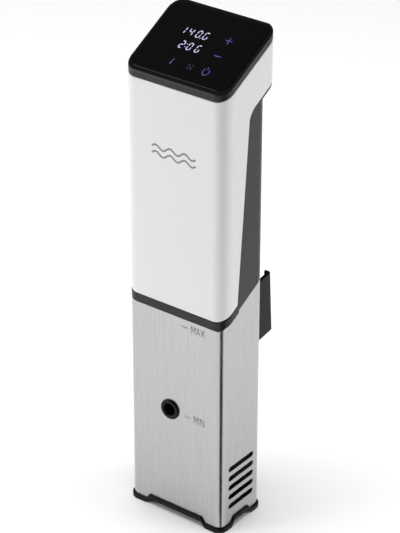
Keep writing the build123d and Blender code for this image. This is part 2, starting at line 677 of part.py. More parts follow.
def clamp_lever():
    """Channel-shaped lever: two cheeks, a back wall scooped for the thumb, and a jaw at the foot."""
    half = LEVER_WIDTH / 2
    cheek_view = [(30.5, 165.8), (45.8, 168.4), (48.6, 124.2), (JAW_Y, 120.7), (JAW_Y, 133.0),
                  (33.0, 139.0), (33.0, 145.5), (25.6, 148.5), (25.6, 158.0)]
    body = across(cheek_view, -half, half)
    back = [e for e in body.edges() if abs(abs(e.center().X) - half) < 0.01 and e.center().Y > 44]
    body = fillet(back, 2.2)
    inner_view = [(20, 128.5), (20, 180), (45.8 - LEVER_WALL, 180),
                  (48.6 - LEVER_WALL - 1.5, 128.5)]
    body -= across(inner_view, -half + CHEEK, half - CHEEK)
    scoop = Pos(0, 170.2) * RectangleRounded(46, 22, 5.0)
    body -= Pos(0, FAR, 0) * extrude(Plane.XZ * scoop, 60)
    return body - rod_x(PIN_RADIUS + RUNNING, PIVOT_Y, PIVOT_Z, -FAR, FAR)


def jaw_pad():
    pad = block(-24, 24, JAW_Y - 2.6, JAW_Y, 121.8, 131.5)
    for step in range(4):
        z = 123.2 + step * 2.2
        pad -= block(-30, 30, JAW_Y - 3.6, JAW_Y - 2.0, z, z + 1.0)
    return pad


def clamp_spring():
    """Torsion spring round the pin: one leg bears on the bracket, the other on the lever's back wall."""
    half = SPRING_TURNS * SPRING_PITCH / 2
    coil = Helix(pitch=SPRING_PITCH, height=2 * half, radius=SPRING_RADIUS)
    turns = sweep(Plane(origin=coil @ 0, z_dir=coil % 0) * Circle(SPRING_WIRE), coil, is_frenet=True)
    turns = Pos(-half, PIVOT_Y, PIVOT_Z) * Rot(-90, 0, 0) * Rot(0, 90, 0) * turns
    front_leg = rod(SPRING_WIRE, -half, PIVOT_Y - SPRING_RADIUS, PIVOT_Z, PIVOT_Z + 15)
    foot = Vector(half, PIVOT_Y + SPRING_RADIUS, PIVOT_Z)
    tip = Vector(half, PIVOT_Y + SPRING_RADIUS + 9.4, PIVOT_Z + 4.4)
    rear_leg = extrude(Plane(origin=foot, z_dir=tip - foot) * Circle(SPRING_WIRE), (tip - foot).length)
    return turns + front_leg + rear_leg


# ---- write every node ---------------------------------------------------------------------------
NODES = {
    "front_shell": front_shell, "rear_grip": rear_grip, "head_base": head_base, "sleeve_seal": sleeve_seal,
    "top_bezel": top_bezel, "glass_gasket": glass_gasket, "touch_glass": touch_glass,
    "display_board": display_board, "display_module": display_module, "touch_springs": touch_springs,
    "board_screws": board_screws, "buzzer": buzzer, "power_board": power_board, "board_posts": board_posts,
    "power_screws": power_screws, "transformer": transformer, "capacitors": capacitors,
    "heat_sink": heat_sink, "terminal_block": terminal_block, "cord_gland": cord_gland, "gland_nut": gland_nut,
    "bulkhead_plate": bulkhead_plate, "bulkhead_gasket": bulkhead_gasket,
    "plate_screws": plate_screws, "motor_standoffs": motor_standoffs, "motor_mount": motor_mount,
    "mount_screws": mount_screws, "motor_case": motor_case, "motor_screws": motor_screws, "motor_stator": motor_stator,
    "motor_bearings": motor_bearings, "motor_rotor": motor_rotor, "drive_shaft": drive_shaft,
    "shaft_seal": shaft_seal, "support_tube": support_tube, "pump_housing": pump_housing,
    "pump_bush": pump_bush, "pump_cover": pump_cover, "impeller": impeller, "heater": heater,
    "heater_nuts": heater_nuts, "temperature_probe": temperature_probe, "level_probes": level_probes,
    "probe_bushes": probe_bushes, "steel_sleeve": steel_sleeve, "base_trim": base_trim,
    "intake_grille": intake_grille, "outlet_grommet": outlet_grommet, "clamp_bracket": clamp_bracket,
    "bracket_screws": bracket_screws, "clamp_pin": clamp_pin, "clamp_lever": clamp_lever,
    "jaw_pad": jaw_pad, "clamp_spring": clamp_spring,
}

os.makedirs("parts", exist_ok=True)
for name, make in NODES.items():
    export_step(make(), f"parts/{name}.step")
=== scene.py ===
import bpy
import json
import numpy as np
from math import cos, pi, radians, sin, tan
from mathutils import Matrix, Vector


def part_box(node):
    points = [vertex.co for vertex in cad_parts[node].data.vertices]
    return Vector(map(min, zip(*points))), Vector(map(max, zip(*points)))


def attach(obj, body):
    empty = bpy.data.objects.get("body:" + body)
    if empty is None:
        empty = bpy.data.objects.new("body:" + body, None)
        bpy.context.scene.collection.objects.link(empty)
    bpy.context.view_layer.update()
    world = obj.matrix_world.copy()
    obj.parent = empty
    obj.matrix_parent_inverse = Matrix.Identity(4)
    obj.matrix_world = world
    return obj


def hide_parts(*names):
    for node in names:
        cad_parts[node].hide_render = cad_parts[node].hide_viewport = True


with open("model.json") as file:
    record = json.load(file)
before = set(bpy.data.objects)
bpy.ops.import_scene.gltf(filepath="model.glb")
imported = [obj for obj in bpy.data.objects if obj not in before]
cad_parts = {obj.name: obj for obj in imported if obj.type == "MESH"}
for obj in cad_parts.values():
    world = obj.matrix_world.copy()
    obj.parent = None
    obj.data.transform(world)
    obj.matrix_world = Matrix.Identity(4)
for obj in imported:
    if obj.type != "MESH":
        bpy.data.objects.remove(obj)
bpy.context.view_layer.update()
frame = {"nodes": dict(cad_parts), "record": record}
mm = 0.001
print("stage: frame loaded")


def boxMm(node):
    low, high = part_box(node)
    return np.array(low) / mm, np.array(high) / mm


# The head's slanted planes, each named by its height at the head's front face
slant = radians(28)
slope = tan(slant)
bandGap = 0.05                 # the sleeve stops this far below the band
shellLow, shellHigh = boxMm("front_shell")
sleeveHigh = boxMm("steel_sleeve")[1]
headFront, headRear, headHalf = shellLow[1], shellHigh[1], shellHigh[0]
sleeveHalf, sleeveFront, sleeveRear = sleeveHigh[0], -sleeveHigh[1], sleeveHigh[1]


def levelOf(corner):
    return corner[2] - (corner[1] - headFront) * slope


def atLevel(level, y):
    return level + (y - headFront) * slope


levels = {
    "bandLow": levelOf(sleeveHigh) + bandGap,
    "bandHigh": shellLow[2],
    "recess": 288.5,           # underside of the overhang above the hand recess
    "shellTop": levelOf(shellHigh),
    "glassTop": levelOf(boxMm("touch_glass")[1]),
    "panelTop": levelOf(boxMm("top_bezel")[1]),
}


# Camera and light
cameraSetup = {
    "azimuth": 37.46, "elevation": 28.94, "distance": 1.4742, "target": (0, 0, 0.1851),
    "lens": 153.57, "sensor": 36, "shift": (0.0085, -0.0048), "clipStart": 0.05,
}
lamps = {
    # name: azimuth, elevation, distance, width, height, watts
    "leftBox": (-48, 12, 1.6, 1.1, 0.9, 13),
    "rightBox": (118, 12, 1.6, 1.0, 0.9, 7.5),
    "floorBox": (-75, 84, 2.0, 2.4, 2.4, 55),
}
lampTarget = (0, 0, 0.18)
worldLevel = 0.16


def pointAt(thing, target):
    direction = np.array(target) - np.array(thing.location)
    yaw = np.arctan2(direction[1], direction[0]) - pi / 2
    pitch = np.arctan2(direction[2], np.hypot(direction[0], direction[1]))
    thing.rotation_euler = (pitch + pi / 2, 0, yaw)


def orbit(azimuth, elevation, distance, target):
    # the point at that distance from the target, turned from -Y by the azimuth and raised by the elevation
    a, e = radians(azimuth), radians(elevation)
    return (target[0] + distance * sin(a) * cos(e), target[1] - distance * cos(a) * cos(e),
            target[2] + distance * sin(e))


def makeCamera(setup):
    camera = bpy.data.objects.new("camera", bpy.data.cameras.new("camera"))
    bpy.context.scene.collection.objects.link(camera)
    camera.location = orbit(setup["azimuth"], setup["elevation"], setup["distance"], setup["target"])
    pointAt(camera, setup["target"])
    camera.data.lens = setup["lens"]
    camera.data.sensor_width = setup["sensor"]
    camera.data.shift_x, camera.data.shift_y = setup["shift"]
    camera.data.clip_start = setup["clipStart"]
    bpy.context.scene.camera = camera


def makeLamps(target):
    for name, (azimuth, elevation, distance, width, height, watts) in lamps.items():
        light = bpy.data.lights.new(name, "AREA")
        light.shape, light.size, light.size_y, light.energy = "RECTANGLE", width, height, watts
        lamp = bpy.data.objects.new(name, light)
        bpy.context.scene.collection.objects.link(lamp)
        lamp.location = orbit(azimuth, elevation, distance, target)
        pointAt(lamp, target)


def makeWorld(level):
    world = bpy.data.worlds.new("studio")
    bpy.context.scene.world = world
    world.use_nodes = True
    background = world.node_tree.nodes["Background"]
    background.inputs["Color"].default_value = (1, 1, 1, 1)
    background.inputs["Strength"].default_value = level
    bpy.context.scene.view_settings.view_transform = "Standard"


makeCamera(cameraSetup)
makeLamps(lampTarget)
makeWorld(worldLevel)
print("stage: camera and light")


# Materials
noiseLow, noiseHigh = 0.3, 0.7  # nearly all of the noise lies between these


def linear(hexColour):
    channels = [int(hexColour[i:i + 2], 16) / 255 for i in (1, 3, 5)]
    return [c / 12.92 if c <= 0.04045 else ((c + 0.055) / 1.055) ** 2.4 for c in channels] + [1]


def addNode(tree, kind, settings=(), links=()):
    node = tree.nodes.new(kind)
    for key, value in dict(settings).items():
        if key in node.inputs:
            node.inputs[key].default_value = value
        else:
            setattr(node, key, value)
    for socket, source in dict(links).items():
        tree.links.new(source, node.inputs[socket])
    return node


def newMaterial(name, colour, roughness, settings=()):
    made = bpy.data.materials.new(name)
    made.use_nodes = True
    made.diffuse_color = linear(colour)
    shader = made.node_tree.nodes["Principled BSDF"]
    shader.inputs["Base Color"].default_value = linear(colour)
    shader.inputs["Roughness"].default_value = roughness
    for key, value in dict(settings).items():
        shader.inputs[key].default_value = value
    return made, made.node_tree, shader


def grain(tree, spacing, stretch=(1, 1, 1), detail=2):
    # noise whose grains are about that many millimetres across, longer where stretch is under 1
    place = addNode(tree, "ShaderNodeTexCoord")
    scaled = addNode(tree, "ShaderNodeMapping", {"Scale": [s / (spacing * mm) for s in stretch]},
                     {"Vector": place.outputs["Object"]})
    noise = addNode(tree, "ShaderNodeTexNoise", {"Scale": 1.0, "Detail": detail},
                    {"Vector": scaled.outputs["Vector"]})
    return noise.outputs["Fac"]


def spread(tree, source, low, high):
    ends = {"From Min": noiseLow, "From Max": noiseHigh, "To Min": low, "To Max": high}
    return addNode(tree, "ShaderNodeMapRange", ends, {"Value": source}).outputs["Result"]


def roughened(tree, shader, source, low, high):
    tree.links.new(spread(tree, source, low, high), shader.inputs["Roughness"])


def bumped(tree, shader, source, depth, strength=1.0):
    bump = addNode(tree, "ShaderNodeBump", {"Strength": strength, "Distance": depth * mm}, {"Height": source})
    tree.links.new(bump.outputs["Normal"], shader.inputs["Normal"])


def tinted(tree, shader, source, dark, light):
    mix = addNode(tree, "ShaderNodeMix", {"data_type": "RGBA"})
    mix.inputs[6].default_value, mix.inputs[7].default_value = linear(dark), linear(light)
    tree.links.new(spread(tree, source, 0, 1), mix.inputs[0])
    tree.links.new(mix.outputs[2], shader.inputs["Base Color"])


# ABS, injection moulded in a polished tool: satin gloss with a very faint ripple
def mouldedWhiteAbs():
    made, tree, shader = newMaterial("mouldedWhiteAbs", "#ebebeb", 0.3, {"IOR": 1.5})
    fine = grain(tree, 0.6)
    roughened(tree, shader, fine, 0.31, 0.38)
    bumped(tree, shader, fine, 0.012, 0.5)
    return made


# plastic from a spark-eroded tool: an even fine grain that breaks up the shine
def grainedPlastic(name, colour, light, roughness, gloss=0.5):
    made, tree, shader = newMaterial(name, colour, roughness, {"IOR": 1.5, "Specular IOR Level": gloss})
    coarse = grain(tree, 0.35, detail=3)
    tinted(tree, shader, coarse, colour, light)
    roughened(tree, shader, coarse, roughness - 0.06, roughness + 0.08)
    bumped(tree, shader, coarse, 0.05, 0.6)
    return made


# soda-lime cover glass, back-printed black: a mirror-like skin over black
def blackGlass():
    made, tree, shader = newMaterial("blackGlass", "#030304", 0.05, {"IOR": 1.5, "Specular IOR Level": 0.3})
    roughened(tree, shader, grain(tree, 9.0, detail=4), 0.04, 0.09)
    return made


# stainless sheet, brushed along its length: streaks far longer than they are wide
def brushedStainless():
    colour, roughness = "#b3b3b2", 0.26
    made, tree, shader = newMaterial("brushedStainless", colour, roughness, {"Metallic": 1.0})
    streak = grain(tree, 0.45, (1, 1, 0.012), detail=3)
    cloud = grain(tree, 26.0)
    tinted(tree, shader, streak, colour, "#bababa")
    mixed = addNode(tree, "ShaderNodeMath", {"operation": "ADD"},
                    {0: spread(tree, streak, roughness - 0.02, roughness + 0.03),
                     1: spread(tree, cloud, -0.02, 0.02)})
    tree.links.new(mixed.outputs["Value"], shader.inputs["Roughness"])
    bumped(tree, shader, streak, 0.004, 0.3)
    return made


# turned, drawn or sintered metal: an even sheen with small tool marks
def turnedMetal(name, colour, light, roughness):
    made, tree, shader = newMaterial(name, colour, roughness, {"Metallic": 1.0})
    mark = grain(tree, 0.7, detail=3)
    tinted(tree, shader, mark, colour, light)
    roughened(tree, shader, mark, roughness - 0.03, roughness + 0.04)
    return made


# moulded silicone: soft, dull, with a powdery bloom
def mouldedSilicone():
    made, tree, shader = newMaterial("mouldedSilicone", "#242425", 0.62, {"IOR": 1.41})
    tinted(tree, shader, grain(tree, 2.5, detail=4), "#202021", "#2c2c2d")
    bumped(tree, shader, grain(tree, 0.3), 0.02, 0.5)
    return made


# light from behind the glass: the only surfaces that shine by themselves
def litMark(name, colour, strength):
    made, tree, shader = newMaterial(name, colour, 0.2)
    shader.inputs["Emission Color"].default_value = linear(colour)
    shader.inputs["Emission Strength"].default_value = strength
    return made


finishes = {
    "white_plastic": mouldedWhiteAbs(),
    "dark_plastic": grainedPlastic("grainedDarkAbs", "#121213", "#171718", 0.33, 0.36),
    "black_trim": grainedPlastic("satinBlackNylon", "#0e0e0f", "#131314", 0.38, 0.14),
    "panel_glass": blackGlass(),
    "sleeve_steel": brushedStainless(),
    "bright_steel": turnedMetal("turnedStainless", "#bebebd", "#c8c8c7", 0.28),
    "seal_rubber": mouldedSilicone(),
    "circuit_board": grainedPlastic("solderMaskGreen", "#14502c", "#1b5f36", 0.35),
    "component_black": grainedPlastic("epoxyBlack", "#1c1c1d", "#252526", 0.45),
    "motor_winding": turnedMetal("lacqueredCopper", "#9c4f22", "#b8642e", 0.3),
    "magnet": turnedMetal("sinteredMagnet", "#4c4c4e", "#5d5d60", 0.45),
    "heat_sink_metal": turnedMetal("extrudedAluminium", "#b4b6b9", "#c8cacd", 0.36),
    "diffuser": grainedPlastic("milkyAcrylic", "#dcdcdc", "#e6e6e6", 0.5),
    "terminal_plastic": grainedPlastic("greenPolyamide", "#1f7a3c", "#268a46", 0.45),
    "bearing_bronze": turnedMetal("sinteredBronze", "#8c6a3a", "#a5824d", 0.42),
}
printGrey = grainedPlastic("padPrintGrey", "#8a8a8b", "#929293", 0.45)
etchGrey = grainedPlastic("laserEtchGrey", "#9c9c9b", "#a6a6a5", 0.55)
litDigits = litMark("litDigits", "#d2ccf4", 0.95)
litIcons = litMark("litIcons", "#5058a4", 0.45)
litFaint = litMark("litFaint", "#3e4470", 0.35)
slotOf = {s["node"]: s["material_slot"] for s in frame["record"]["subparts"]}
for node, thing in frame["nodes"].items():
    thing.data.materials.clear()
    thing.data.materials.append(finishes[slotOf[node]])
floorPaint = newMaterial("floorPaint", "#f7f7f7", 0.9)[0]
# black material of a sheet seen only in reflections: it paints a dark reflection on the steel
paintedReflectionSheet = newMaterial("paintedReflectionSheet", "#050505", 0.95)[0]
print("stage: materials")


# Surfaces. A column is a point of an outline seen from above with its outward normal: x, y, nx, ny.
cornerSteps = 14
support = 0.5                  # an extra column this far from each corner keeps the flat faces flat
roundSupport = 0.35            # and an extra row this far beyond each rounded edge
wallShare = 0.48               # a rounded edge takes at most this share of its wall's height
turnSteps = 48
sharpAngle = 35                # edges turned by more degrees than this stay sharp


def keepEven(piece):
    flat = piece.modifiers.new("evenNormals", "WEIGHTED_NORMAL")
    flat.keep_sharp = True


def makePiece(name, points, faces, body, slot, replaced=(), material=None, sharp=sharpAngle):
    mesh = bpy.data.meshes.new(name)
    mesh.from_pydata((np.asarray(points) * mm).tolist(), [], faces)
    mesh.update()
    mesh.polygons.foreach_set("use_smooth", np.ones(len(mesh.polygons), bool))
    mesh.set_sharp_from_angle(angle=radians(sharp))
    piece = bpy.data.objects.new(name, mesh)
    bpy.context.scene.collection.objects.link(piece)
    mesh.materials.append(material or finishes[slot])
    keepEven(piece)
    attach(piece, body)
    if replaced:
        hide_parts(*replaced)
    return piece


def gridFaces(rows, columns, closedRows, closedColumns):
    # quads between neighbouring rows and columns of a grid of points
    r, c = np.meshgrid(np.arange(rows - (not closedRows)), np.arange(columns - (not closedColumns)), indexing="ij")
    up, along = (r + 1) % rows, (c + 1) % columns
    quads = np.stack([r * columns + c, r * columns + along, up * columns + along, up * columns + c], -1)
    return quads.reshape(-1, 4).tolist()


def outline(half, front, rear, radius, sideStops=(), flatStops=()):
    # rounded rectangle, anticlockwise: straight runs with extra stops, and corners whose points are the
    # corner's centre plus the radius times the cosine and sine of an angle that turns by a quarter
    y0, y1, x0 = front + radius, rear - radius, half - radius
    side = np.concatenate([[y0, y0 + support, (y0 + y1) / 2, y1 - support, y1], sideStops])
    side = np.unique(np.round(side[(side >= y0) & (side <= y1)], 5))
    flat = np.concatenate([[-x0, support - x0, 0, x0 - support, x0], flatStops])
    flat = np.unique(np.round(flat[(flat >= -x0) & (flat <= x0)], 5))
    turn = np.linspace(0, pi / 2, cornerSteps + 1)[1:-1]

    def corner(x, y, start):
        nx, ny = np.cos(turn + start), np.sin(turn + start)
        return np.stack([x + radius * nx, y + radius * ny, nx, ny], 1)

    def run(x, y, nx, ny):
        count = max(np.size(x), np.size(y))
        return np.stack([np.broadcast_to(v, count) for v in (x, y, nx, ny)], 1)

    return np.concatenate([
        run(half, side, 1.0, 0.0), corner(x0, y1, 0),
        run(flat[::-1], rear, 0.0, 1.0), corner(-x0, y1, pi / 2),
        run(-half, side[::-1], -1.0, 0.0), corner(-x0, y0, pi),
        run(flat, front, 0.0, -1.0), corner(x0, y0, 1.5 * pi)])


def stretchOf(loop, keep):
    # the unbroken part of a closed outline where keep holds
    first = np.flatnonzero(keep & ~np.roll(keep, 1))[0]
    return np.roll(loop, -first, axis=0)[:keep.sum()]


def plane(level):
    # height of a slanted plane over x, y, and how much longer its slant makes an edge with normal nx, ny
    return lambda x, y, nx, ny: (atLevel(level, y), np.sqrt(1 + (slope * nx) ** 2))


def wallRows(thickness, lowRound, highRound, steps=5, outer=0.0):
    # closed section of a wall with two rounded outer edges: rows of inset, low or high edge, offset from it
    quarter = np.linspace(0, pi / 2, steps + 1)
    rows = [(outer + lowRound * (1 - sin(a)), 0, lowRound * (1 - cos(a))) for a in quarter]
    rows += [(outer, 0, lowRound + roundSupport), (outer, 1, -highRound - roundSupport)]
    rows += [(outer + highRound * (1 - cos(a)), 1, -highRound * (1 - sin(a))) for a in quarter]
    rows += [(outer + thickness, 1, 0), (outer + thickness, 0, 0)]
    return rows


def wallPoints(columns, rows, low, high):
    # each column's point is moved in by the row's inset, then lifted to the low or high edge plus the row's
    # offset times how much longer that edge's slope makes it, never past the middle of the wall
    inset, edge, offset = [np.array(part)[:, None] for part in zip(*rows)]
    nx, ny = columns[None, :, 2], columns[None, :, 3]
    x, y = columns[None, :, 0] - inset * nx, columns[None, :, 1] - inset * ny
    lowZ, lowLong = low(x, y, nx, ny)
    highZ, highLong = high(x, y, nx, ny)
    room = np.maximum(highZ - lowZ, 0) * wallShare
    shift = np.clip(offset * np.where(edge > 0.5, highLong, lowLong), -room, room)
    z = np.where(edge > 0.5, highZ, lowZ) + shift
    return np.stack([x + 0 * z, y + 0 * z, z], -1)


def wallPiece(name, columns, rows, low, high, closed, body, slot, replaced, sharp=sharpAngle):
    points = wallPoints(columns, rows, low, high)
    count, wide = points.shape[:2]
    faces = gridFaces(count, wide, True, closed)
    if not closed:
        faces.append([r * wide for r in range(count)])
        faces.append([r * wide + wide - 1 for r in reversed(range(count))])
    return makePiece(name, points.reshape(-1, 3), faces, body, slot, replaced, sharp=sharp)


def sweptPoints(columns, section):
    # each column's point is moved in by the row's inset and set at the row's height, which climbs with the
    # head's slant where the row's share is one and stays level where it is zero
    inset, share, height = [np.array(part)[:, None] for part in zip(*section)]
    x = columns[None, :, 0] - inset * columns[None, :, 2]
    y = columns[None, :, 1] - inset * columns[None, :, 3]
    return np.stack([x, y, height + share * (y - headFront) * slope], -1)


def ringPiece(name, columns, section, body, slot, replaced):
    # a closed section carried round the whole outline
    faces = gridFaces(len(section), len(columns), True, True)
    makePiece(name, sweptPoints(columns, section).reshape(-1, 3), faces, body, slot, replaced)


def slabPiece(name, columns, section, body, slot, replaced=()):
    # a solid plate on the slanted plane: an open section carried round the outline, closed above and below
    count, wide = len(section), len(columns)
    faces = gridFaces(count, wide, False, True)
    faces.append(list(range(wide))[::-1])
    faces.append(list(range((count - 1) * wide, count * wide)))
    points = sweptPoints(columns, [(inset, 1, level) for inset, level in section])
    makePiece(name, points.reshape(-1, 3), faces, body, slot, replaced)


def turnedPiece(name, centre, axis, section, body, slot, replaced):
    # closed section of radius and distance along the axis, carried round the axis
    axis = np.array(axis, float)
    across = np.cross(axis, (1.0, 0.0, 0.0))
    across /= np.linalg.norm(across)
    other = np.cross(axis, across)
    angle = np.arange(turnSteps) * 2 * pi / turnSteps
    ring = np.cos(angle)[:, None] * across + np.sin(angle)[:, None] * other
    radius, along = [np.array(part)[:, None, None] for part in zip(*section)]
    points = np.array(centre) + radius * ring[None] + along * axis
    makePiece(name, points.reshape(-1, 3), gridFaces(len(section), turnSteps, True, True), body, slot, replaced)


def roundedPath(points, radii, steps=12):
    # polyline whose inner corners are arcs of the given radii
    points = [np.array(p, float) for p in points]
    path = [points[0][None]]
    for before, corner, after, radius in zip(points, points[1:], points[2:], radii):
        a, b = before - corner, after - corner
        a, b = a / np.linalg.norm(a), b / np.linalg.norm(b)
        half = np.arccos(np.clip(a @ b, -1, 1)) / 2
        reach = radius / tan(half)
        centre = corner + (a + b) / np.linalg.norm(a + b) * radius / sin(half)
        sweep = pi - 2 * half
        s = np.linspace(0, 1, steps + 1)[:, None]
        start, end = corner + a * reach - centre, corner + b * reach - centre
        path.append(centre + (np.sin((1 - s) * sweep) * start + np.sin(s * sweep) * end) / sin(sweep))
    path.append(points[-1][None])
    return np.concatenate(path)


# Head casing
head = {
    "cornerRadius": 9.0, "wall": 2.0, "edgeRound": 0.8, "topRound": 0.25, "seam": 0.3,
    # the white shell's rear edge runs up a wedge between these y, with these radii at its foot and top
    "wedgeLowY": -7.7, "wedgeTopY": 3.55, "wedgeCorner": 1.0, "wedgeFillet": 12.0, "past": 8,
}
band = {"end": -6.3, "lastColumn": 0.4, "wall": 2.6, "lowRound": 0.4, "highRound": 0.3}
spigot = {
    "outer": 0.97, "inner": 3.1, "lead": 0.6, "groove": (150.0, 151.8), "grooveDeep": 1.0,
    "flangeLow": 0.05, "flangeHigh": 2.9,
}
grip = {
    "inset": 1.0, "front": -30.0, "rear": 23.0, "radius": 8.0, "wall": 2.5, "lowRound": 0.7, "highRound": 0.3,
    "step": (0.1, 0.25),       # past the band's end the foot drops between these distances
}
overhang = {"inset": 0.12, "front": 8.0, "gap": 0.16}

rearEdge = roundedPath(
    [(y, atLevel(levels[level], y)) for y, level in (
        (headFront - head["past"], "bandHigh"), (head["wedgeLowY"], "bandHigh"),
        (head["wedgeTopY"], "recess"), (headRear + head["past"], "recess"))],
    [head["wedgeCorner"], head["wedgeFillet"]])
edgeSlope = np.gradient(rearEdge[:, 1], rearEdge[:, 0])
edgeStops = np.concatenate([rearEdge[:, 0], np.linspace(head["wedgeLowY"] + 1, head["wedgeTopY"] - 1, 8)])


def alongRearEdge(back):
    # the white shell's lower and rear edge, as a height over y, moved back by that much
    def edge(x, y, nx, ny):
        rise = np.interp(y - back, rearEdge[:, 0], edgeSlope)
        return np.interp(y - back, rearEdge[:, 0], rearEdge[:, 1]), np.sqrt(1 + (rise * nx) ** 2)
    return edge


def headOutline(inset=0.0, stops=()):
    return outline(headHalf - inset, headFront + inset, headRear - inset, head["cornerRadius"] - inset, stops)


def makeShell():
    # a wall round the head's outline, from the rear edge's curve up to the slanted plane under the bezel
    rows = wallRows(head["wall"], head["edgeRound"], head["topRound"])
    wallPiece("shellSurface", headOutline(0.0, edgeStops), rows, alongRearEdge(0), plane(levels["shellTop"]), True,
              "head", "white_plastic", ["front_shell"])


def makeBand():
    # a wall round the front of the head's outline, between two slanted planes
    columns = headOutline(0.0, [band["end"], band["end"] - band["lastColumn"]])
    columns = stretchOf(columns, columns[:, 1] <= band["end"] + 1e-6)
    rows = wallRows(band["wall"], band["lowRound"], band["highRound"])
    wallPiece("bandSurface", columns, rows, plane(levels["bandLow"]), plane(levels["bandHigh"] - head["seam"]), False,
              "head", "dark_plastic", ["head_base"])


def makeSpigot():
    # the ring that plugs into the sleeve, with a groove for its seal and a flange joining it to the band:
    # a section that is level at its foot and slanted at its top, carried round the sleeve's outline
    outer, inner, lead, deep = spigot["outer"], spigot["inner"], spigot["lead"], spigot["grooveDeep"]
    foot, base = boxMm("head_base")[0][2], levels["bandLow"]
    grooveLow, grooveHigh = spigot["groove"]
    section = [
        (outer + lead, 0, foot), (outer, 0, foot + lead), (outer, 0, grooveLow), (outer + deep, 0, grooveLow),
        (outer + deep, 0, grooveHigh), (outer, 0, grooveHigh), (outer, 1, base + spigot["flangeLow"]),
        (outer, 1, base + spigot["flangeHigh"]), (inner, 1, base + spigot["flangeHigh"]), (inner, 1, base),
        (inner, 0, foot)]
    columns = outline(sleeveHalf, sleeveFront, sleeveRear, sleeve["radius"])
    ringPiece("spigotSurface", columns, section, "head", "dark_plastic", ["head_base"])


def makeGrip():
    # a wall round the back of the head, from the band's foot up to the white shell's rear edge
    start = head["wedgeLowY"] + head["seam"]
    stepEnd, stepStart = [band["end"] + s for s in grip["step"]]
    stops = np.concatenate([edgeStops + head["seam"], [start, stepEnd, stepStart]])
    columns = outline(headHalf - grip["inset"], grip["front"], grip["rear"], grip["radius"], stops)
    columns = stretchOf(columns, columns[:, 1] >= start - 1e-6)

    def low(x, y, nx, ny):
        overBand = np.clip((stepStart - y) / (stepStart - stepEnd), 0, 1)
        base, long = plane(levels["bandLow"])(x, y, nx, ny)
        return base + overBand * (levels["bandHigh"] - levels["bandLow"] + head["seam"]), long

    rows = wallRows(grip["wall"], grip["lowRound"], grip["highRound"])
    wallPiece("gripSurface", columns, rows, low, alongRearEdge(head["seam"]), False, "head", "dark_plastic",
              ["rear_grip"])


def makeOverhang():
    # plate that closes the overhang from below, a little inside the white edge
    inset, level = overhang["inset"], levels["recess"]
    plate = outline(headHalf - inset, overhang["front"], headRear - inset, head["cornerRadius"] - inset)
    section = [(1.0, level - 1.7), (0.35, level - 1.62), (0.06, level - 1.35), (0, level - 1.0),
               (0, level - overhang["gap"]), (2.4, level - overhang["gap"])]
    slabPiece("overhangPlate", plate, section, "head", "dark_plastic")


# Touch panel
panel = {"rim": 2.7, "round": 0.95, "steps": 7, "seam": 0.14, "glassGap": 0.12, "deep": 5, "film": 0.03}


def makeBezel():
    # a section with a rounded outer shoulder and a lip beside the glass, carried round the head's outline
    top, low = levels["panelTop"], levels["shellTop"] + panel["seam"]
    quarter = np.linspace(0, pi / 2, panel["steps"] + 1)
    rim, turn = panel["rim"] - panel["glassGap"], panel["round"]
    section = [(0.3, low), (0.1, low + 0.05), (0, low + 0.25), (0, low + 0.7), (0, top - turn - 0.4)]
    section += [(turn * (1 - cos(a)), top - turn * (1 - sin(a))) for a in quarter]
    section += [(rim - 0.25, top), (rim - 0.07, top - 0.07), (rim, top - 0.25), (rim, top - 3),
                (rim + 3, top - 3), (rim + 3, low - panel["deep"]), (2.2, low - panel["deep"]), (2.2, low)]
    section = [(inset, 1, level) for inset, level in section]
    ringPiece("bezelSurface", headOutline(), section, "head", "dark_plastic", ["top_bezel"])


def makeGlass():
    # a plate with a small polished bevel, on the outline inside the rim
    top = levels["glassTop"]
    section = [(0, top - 2.2), (0, top - 0.25), (0.06, top - 0.07), (0.22, top)]
    slabPiece("glassSurface", headOutline(panel["rim"]), section, "head", "panel_glass", ["touch_glass"])


# Marks: where a flat pattern's u and v land on each surface
printFilm = {"proud": 0.02, "thickness": 0.02}


def onGlass(u, v):
    return np.stack([u, v, atLevel(levels["glassTop"], v) + panel["film"]], -1)


def onHeadFront(u, v):
    return np.stack([u, headFront - printFilm["proud"] + 0 * u, v], -1)


def onSleeveFront(u, v):
    return np.stack([u, sleeveFront - printFilm["proud"] + 0 * u, v], -1)


def strokes(name, lines, width, place, body, slot, material):
    # each line of points becomes a thin ribbon: its points moved half a width to either side of the line
    points, faces, start = [], [], 0
    for line in lines:
        line = np.array(line, float)
        step = np.gradient(line, axis=0)
        step /= np.linalg.norm(step, axis=1)[:, None]
        side = np.stack([-step[:, 1], step[:, 0]], 1) * width / 2
        edge = np.concatenate([line + side, line - side])
        points.append(place(edge[:, 0], edge[:, 1]))
        count = len(line)
        i = np.arange(count - 1)
        faces += (np.stack([i + count, i + count + 1, i + 1, i], 1) + start).tolist()
        start += 2 * count
    piece = makePiece(name, np.concatenate(points), faces, body, slot, material=material)
    wall = piece.modifiers.new("filmThickness", "SOLIDIFY")
    wall.thickness = printFilm["thickness"] * mm
    wall.offset = -1


def arcLine(x, y, radius, start, end, steps=20):
    a = np.radians(np.linspace(start, end, steps))
    return np.stack([x + radius * np.cos(a), y + radius * np.sin(a)], 1)


digits = {
    # which of the seven strokes are lit: top, upper left, upper right, middle, lower left, lower right, bottom
    "1": "0010010", "2": "1011101", "4": "0111010", "0": "1110111", "half0": "1100111",
}
rowsOfDigits = [
    # characters with their left edges, the row's foot and height, and a digit's width
    ({"1": -19.5, "4": -13.7, "0": -7.6, "half0": -2.2}, 9.1, 4.7, 2.7),
    ({"2": -13.6, "0": -7.5, "half0": -1.2}, -0.45, 4.9, 2.5),
]
